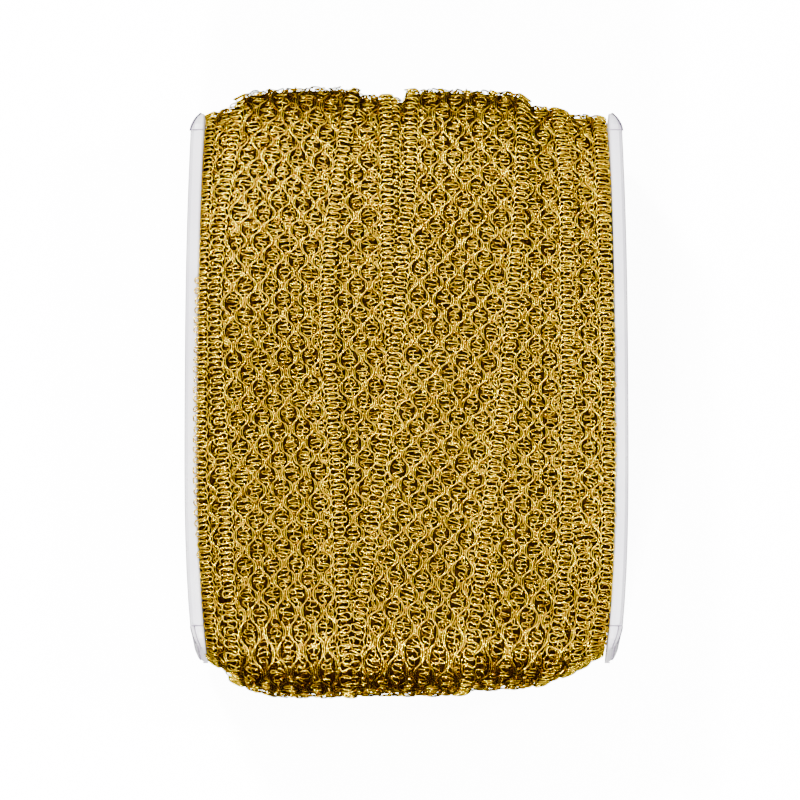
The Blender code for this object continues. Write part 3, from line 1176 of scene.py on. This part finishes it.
@dataclass
class WoundBraid:
    """The wound braid: a ground of its form, painted dark as shade, and the yarn of each turn that shows.

    Attributes:
        form: The form that it is wound on.
    """

    form: WoundForm
    ground_depth: float = 0.55 * MM
    ground_columns: int = 150
    ground_rows: int = 220
    tucked_under: float = 0.9 * MM
    side_clearance: float = 0.05 * MM
    gap_to_plate: float = 0.3 * MM
    over_plate: float = 1.3 * MM
    pile_up: float = 1.4 * MM
    end_loft: float = 0.3
    end_reach: float = 0.05
    deep_threads_end: float = 0.06
    cord_yarn: Material = field(init=False)
    filling_yarn: Material = field(init=False)
    painted_shade_yarn: Material = field(init=False)
    ground: Material = field(init=False)

    def __post_init__(self) -> None:
        """Makes the finishes."""
        self.cord_yarn = GoldYarnFinish().build()
        self.filling_yarn = GoldFillingFinish().build()
        self.painted_shade_yarn = GoldPaintedShadeFinish().build()
        # The ground's finish is painted shade, near black, with faint painted glints.
        self.ground = LowerLayersPaintedShadeFinish().build()

    def build_ground(self) -> Object:
        """Makes the closed ground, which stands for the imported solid.

        Returns:
            The new piece.
        """
        whole = np.ones((self.ground_rows, self.ground_columns))
        place = np.arange(self.ground_rows)[:, None] / self.ground_rows * whole
        share = np.linspace(-1.0, 1.0, self.ground_columns) * whole
        x = share * (self.form.side(place) - self.side_clearance)
        last = len(self.form.turns) - 1
        height = self.form.height(last, x, place)[1] - self.ground_depth
        points = self.form.points(x, place, height)[0]
        points[..., 2] = np.maximum(points[..., 2], self.ground_depth)
        index = np.arange(x.size).reshape(x.shape)
        following = np.roll(index, -1, axis=0)
        corners = [index[:, :-1], following[:, :-1], following[:, 1:], index[:, 1:]]
        faces = [np.stack(corners, axis=-1).reshape(-1, 4)]
        faces += self.side_faces(index[:, -1])
        faces += [side[:, ::-1] for side in self.side_faces(index[:, 0])]
        builder = MeshBuilder()
        builder.add(points, faces)
        return builder.build("braid_ground", self.ground)

    def side_faces(self, rim: Indices) -> list[Indices]:
        """Closes one side of the ground, between the front and the back.

        Args:
            rim: The side's points, from the round end down the front and back up the back.

        Returns:
            Four-sided faces, and the three-sided ones at the two ends.
        """
        half = len(rim) // 2
        front = np.arange(1, half - 1)
        walls = np.stack([rim[front], rim[front + 1], rim[-front - 1], rim[-front]], axis=-1)
        tips = np.array([rim[[0, 1, -1]], rim[[half - 1, half, half + 1]]])
        return [walls, tips]

    def build_turn(self, number: int) -> list[tuple[Object, int]]:
        """Makes the yarn of one turn, where nothing laid over it hides it.

        Args:
            number: The turn, counted in the form's turns.

        Returns:
            The new pieces, each with its number of triangles.
        """
        turn = self.form.turns[number]
        pattern = MeshBraidPattern(self.form.loop, turn.turns_before)
        groups = (
            ("cords_of_", pattern.cords(), self.cord_yarn),
            ("fillings_of_", pattern.fillings(), self.filling_yarn),
            # The deep threads get the darker copy of the yarn, which is painted shade.
            ("deep_threads_of_", pattern.deep_threads(), self.painted_shade_yarn),
            ("selvedges_of_", pattern.selvedges(), self.cord_yarn),
        )
        pieces = []
        for name, layout, material in groups:
            builder = MeshBuilder()
            for strands in layout:
                self.lay(builder, number, strands, material is not self.painted_shade_yarn)
            pieces.append((builder.build(name + turn.name, material), builder.triangles))
        return pieces

    def lay(self, builder: MeshBuilder, number: int, strands: Strands, all_round: bool) -> None:
        """Lays strands of the flat braid on the winding.

        Args:
            builder: What collects the mesh.
            number: The turn, counted in the form's turns.
            strands: The strands to lay.
            all_round: Whether they also lie on the winding's underside.
        """
        form = self.form
        turn = form.turns[number]
        middle = strands.along / form.loop
        slant = turn.slant(middle, form.loop)
        place = (strands.along - strands.across * np.sin(slant)) / form.loop
        x = turn.centre(middle) + strands.across * np.cos(slant)
        from_end = np.minimum(*from_ends(place))
        loft = 1.0 + self.end_loft * smooth_step(1.0 - from_end / self.end_reach)
        height = form.height(number, x, place)[0] + strands.lift * loft
        points, normals = form.points(x, place, height)
        radius = strands.thickness / 2.0
        points[..., 2] = np.maximum(points[..., 2], radius)
        shown = form.under_cover(number, x, place) < self.tucked_under
        room = np.where(self.above_plates(points, radius), self.over_plate, self.gap_to_plate - radius)
        limit = form.side(place) + room
        shown &= np.abs(x) < limit + self.pile_up
        points[..., 0] = np.clip(x, -limit, limit)
        shown &= turn.laid(place) > 0.5
        if not all_round:
            from_middle_of_back = np.abs(place % 1.0 - MIDDLE_OF_BACK)
            shown &= from_middle_of_back > MIDDLE_OF_BACK - FULL_END - self.deep_threads_end
        builder.add_tubes(points, normals, radius, strands.section.value, shown)

    def above_plates(self, points: Array, radius: float) -> Mask:
        """Tells which points of a strand pass over or beyond the reel's end plates.

        Args:
            points: The strand's points.
            radius: Half of its thickness.

        Returns:
            Whether each point is clear of the plates' outline, seen from the side.
        """
        y = np.abs(points[..., 1] - self.form.middle_y - EndPlates.offset_y)
        z = np.abs(points[..., 2] - self.form.middle_z)
        corner = EndPlates.corner_radius
        past = np.clip(y - EndPlates.length / 2.0 + corner, 0.0, corner)
        rim = EndPlates.depth / 2.0 - corner + np.sqrt(corner**2 - past**2)
        return (z > rim + radius) | (y > EndPlates.length / 2.0 + radius)


class CornerLine(Enum):
    """How dark a line of painted shade at a plate's corner is, as a word in its piece's name."""

    DARK = "dark"
    PALE = "pale"


@dataclass
class EndPlates:
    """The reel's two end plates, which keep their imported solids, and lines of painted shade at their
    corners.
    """

    form: WoundForm
    nodes: dict[str, Object]
    length: float = 151.2 * MM
    depth: float = 38.7 * MM
    thickness: float = 3.6 * MM
    clearance: float = 0.3 * MM
    taper: float = 1.9 * MM
    taper_reach: float = 6.0 * MM
    taper_exponent: float = 2.0
    offset_y: float = 1.5 * MM
    corner_radius: float = 5.7 * MM
    outer_round: float = 2.1 * MM
    line_steps: int = 9
    silhouette: Pair = (math.radians(15.0), math.radians(75.0))
    tip_turned: float = math.radians(35.0)
    inner_turned: float = math.radians(64.0)
    dark_line: float = 0.85 * MM
    grey_line: float = 0.55 * MM
    thin_line: float = 0.32 * MM

    def dress(self) -> None:
        """Gives both plates the milky plastic."""
        plastic = MilkyPlasticFinish().build()
        for name in ("end_plate_left", "end_plate_right"):
            plate = self.nodes[name]
            plate.data.materials.clear()
            plate.data.materials.append(plastic)

    def on_plate(self, side: Side, out: Array, y: Array, z: Array) -> Array:
        """Places points on a plate.

        Args:
            side: Which plate it is.
            out: How far the points lie from the plate's inner face.
            y: Places along the plate, from its middle.
            z: Heights from its middle.

        Returns:
            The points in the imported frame.
        """
        along = y + self.offset_y
        past_start = np.clip(np.abs(y) - self.length / 2.0 + self.taper_reach, 0.0, None)
        taper = self.taper * (past_start / self.taper_reach) ** self.taper_exponent
        out = out * (1.0 - taper / self.thickness)
        x = side.value * (self.form.half_width + self.clearance + out - self.form.draw_in(along))
        return np.stack([x, along + self.form.middle_y, z + self.form.middle_z], axis=-1)

    def rim(self, turned: Array) -> tuple[Array, Array]:
        """Gives places on the plate's rounded outer edge.

        Args:
            turned: How far round the edge, from 0 on the outer face to a right angle on the rim.

        Returns:
            How far they lie from the inner face, and how far in from the rim.
        """
        out = self.thickness - self.outer_round * (1.0 - np.cos(turned))
        return out, self.outer_round * (1.0 - np.sin(turned))

    def build_corner_lines(
        self, side: Side, finishes: dict[CornerLine, Material]
    ) -> list[Object]:
        """Makes thin dark tubes of painted shade round a plate's bent corners.

        Args:
            side: Which plate it is.
            finishes: The finish of each kind of line.

        Returns:
            The new pieces.
        """
        centre_y = self.length / 2.0 - self.corner_radius
        centre_z = self.depth / 2.0 - self.corner_radius
        bend = np.linspace(0.0, math.pi / 2.0, self.line_steps)
        level = np.linspace(0.0, 1.0, self.line_steps)
        none = np.zeros(self.line_steps)
        ones = np.ones(self.line_steps)
        builders = {kind: MeshBuilder() for kind in CornerLine}
        round_edge = np.linspace(*self.silhouette, self.line_steps)
        arcs = (
            (CornerLine.DARK, 1.0, 1.0, round_edge, self.dark_line),
            (CornerLine.DARK, -1.0, 1.0, self.silhouette[0] * ones, self.thin_line),
            (CornerLine.PALE, -1.0, -1.0, self.tip_turned * ones, self.grey_line),
            (CornerLine.PALE, -1.0, 1.0, self.inner_turned * ones, self.thin_line),
        )
        for kind, end, top, turned, thickness in arcs:
            out, inset = self.rim(turned)
            radius = self.corner_radius - inset
            way_y = end * np.sin(bend)
            way_z = top * np.cos(bend)
            y = end * centre_y + radius * way_y
            line = self.on_plate(side, out, y, top * centre_z + radius * way_z)
            self.add_line(builders[kind], line, way_y, way_z, thickness)
        out, inset = self.rim(self.tip_turned * ones)
        tip = -self.length / 2.0 * ones
        straights = [
            (out, inset + tip, centre_z * (1.0 - 2.0 * level), -ones, none, self.grey_line),
            (out * level, tip, -centre_z * ones, -ones, none, self.thin_line),
        ]
        for end in (-1.0, 1.0):
            crease_y = end * centre_y * ones
            straights.append((out * level, crease_y, self.depth / 2.0 * ones, none, ones, self.thin_line))
        for out, y, z, way_y, way_z, thickness in straights:
            line = self.on_plate(side, out, y, z)
            self.add_line(builders[CornerLine.PALE], line, way_y, way_z, thickness)
        name = side.name.lower() + "_corner_lines_"
        return [builders[kind].build(name + kind.value, finishes[kind]) for kind in CornerLine]

    def add_line(
        self, builder: MeshBuilder, line: Array, way_y: Array, way_z: Array, thickness: float
    ) -> None:
        """Adds one line as a slim tube.

        Args:
            builder: What collects the mesh.
            line: The line's points.
            way_y: Y of the way out of the plate at each point.
            way_z: Z of the same.
            thickness: The tube's thickness.
        """
        normals = unit(np.stack([np.zeros_like(way_y), way_y, way_z], axis=-1))
        shown = np.full((1, len(line)), True)
        sides = YarnSection.CORD.value
        builder.add_tubes(line[None], normals[None], thickness / 2.0, sides, shown)


@dataclass(frozen=True)
class Lamp:
    """One soft lamp: its name, where it hangs, its side length and its power in watts."""

    name: str
    place: tuple[float, float, float]
    size: float
    power: float


@dataclass
class Studio:
    """A plain pale floor, soft light and the camera, above and slightly to the front.

    Attributes:
        target: The point that the camera looks at.
    """

    LAMPS = (
        Lamp("key_lamp", (-0.60, 0.95, 1.15), 0.20, 62.0),
        Lamp("side_lamp", (0.90, 0.10, 1.10), 0.16, 18.0),
        Lamp("front_lamp", (-0.20, -1.25, 0.85), 0.20, 70.0),
    )

    # How far the photo's middle lies from the object's
    OFF_MIDDLE = Vector((-1.8 * MM, -2.9 * MM, 0.0))

    target: Vector
    elevation: float = math.radians(80.0)
    distance: float = 2.0
    sensor: float = 36.0
    covered: float = 0.224
    floor_half: float = 3.0
    far: float = 50.0
    light_from_above: float = 2.1
    light_from_below: float = 0.02
    full_light_at: float = 0.95
    least_light_at: float = -0.10

    def build_floor(self, material: Material) -> Object:
        """Makes the floor, which neither lights the object nor takes its shadow.

        Args:
            material: Its finish.

        Returns:
            The floor.
        """
        half = self.floor_half
        corners = [(-half, -half, 0.0), (half, -half, 0.0), (half, half, 0.0), (-half, half, 0.0)]
        mesh = bpy.data.meshes.new("floor")
        mesh.from_pydata(corners, [], [(0, 1, 2, 3)])
        mesh.materials.append(material)
        floor = bpy.data.objects.new("floor", mesh)
        floor.visible_diffuse = False
        floor.visible_glossy = False
        floor.visible_shadow = False
        bpy.context.scene.collection.objects.link(floor)
        return floor

    def build_camera(self) -> Object:
        """Makes the camera and gives it to the scene.

        Returns:
            The camera.
        """
        data = bpy.data.cameras.new("camera")
        data.sensor_width = self.sensor
        data.lens = self.sensor * self.distance / self.covered
        data.clip_end = self.far
        camera = bpy.data.objects.new("camera", data)
        back = Vector((0.0, -math.cos(self.elevation), math.sin(self.elevation)))
        camera.location = self.target + back * self.distance
        camera.rotation_euler = (math.pi / 2.0 - self.elevation, 0.0, 0.0)
        bpy.context.scene.collection.objects.link(camera)
        bpy.context.scene.camera = camera
        return camera

    def build_world(self) -> None:
        """Makes the soft light from overhead, which fades to nearly none a little below level."""
        world = bpy.data.worlds.new("studio")
        world.use_nodes = True
        tree = world.node_tree
        place = add_node(tree, "ShaderNodeTexCoord", {}, {})
        parts = add_node(tree, "ShaderNodeSeparateXYZ", {}, {"Vector": place.outputs["Generated"]})
        levels = {
            "From Min": self.least_light_at,
            "From Max": self.full_light_at,
            "To Min": self.light_from_below,
            "To Max": self.light_from_above,
        }
        light = add_node(tree, "ShaderNodeMapRange", levels, {"Value": parts.outputs["Z"]})
        white = {"Color": (1.0, 1.0, 1.0, 1.0)}
        set_node(tree, tree.nodes["Background"], white, {"Strength": light.outputs["Result"]})
        bpy.context.scene.world = world

    def build_lamp(self, lamp: Lamp) -> Object:
        """Makes one lamp that faces the reel.

        Args:
            lamp: Its place, size and power.

        Returns:
            The lamp.
        """
        data = bpy.data.lights.new(lamp.name, "AREA")
        data.size = lamp.size
        data.energy = lamp.power
        item = bpy.data.objects.new(lamp.name, data)
        item.location = lamp.place
        item.rotation_euler = (self.target - item.location).to_track_quat("-Z", "Y").to_euler()
        bpy.context.scene.collection.objects.link(item)
        return item

    def build(self) -> None:
        """Makes the whole studio."""
        self.build_floor(PaleFloorFinish().build())
        self.build_camera()
        self.build_world()
        for lamp in self.LAMPS:
            self.build_lamp(lamp)


def main() -> None:
    """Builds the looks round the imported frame."""
    logging.basicConfig(level=logging.INFO, format="%(name)s: %(message)s")
    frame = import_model()
    low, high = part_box("end_plate_left")
    middle_y = (low.y + high.y) / 2.0 - EndPlates.offset_y
    form = WoundForm(middle_y=middle_y, middle_z=(low.z + high.z) / 2.0)
    log.info("once round is %.1f mm", form.loop / MM)

    braid = WoundBraid(form)
    ground = braid.build_ground()
    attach(ground, "root")
    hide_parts("wound_braid")
    total = 0
    for number in range(len(form.turns)):
        for piece, triangles in braid.build_turn(number):
            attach(piece, "root")
            total += triangles
            log.info("%s: %d triangles", piece.name, triangles)
    log.info("yarn in all: %d triangles", total)

    plates = EndPlates(form, frame["nodes"])
    plates.dress()
    # Both kinds of corner line are painted shade.
    finishes = {
        CornerLine.DARK: PaintedCornerShadeFinish().build(),
        CornerLine.PALE: PaintedCreaseShadeFinish().build(),
    }
    for side in Side:
        for lines in plates.build_corner_lines(side, finishes):
            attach(lines, "root")
            log.info("%s made", lines.name)

    Studio(Vector((0.0, 0.0, form.middle_z)) + Studio.OFF_MIDDLE).build()
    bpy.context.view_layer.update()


if __name__ == "__main__":
    main()
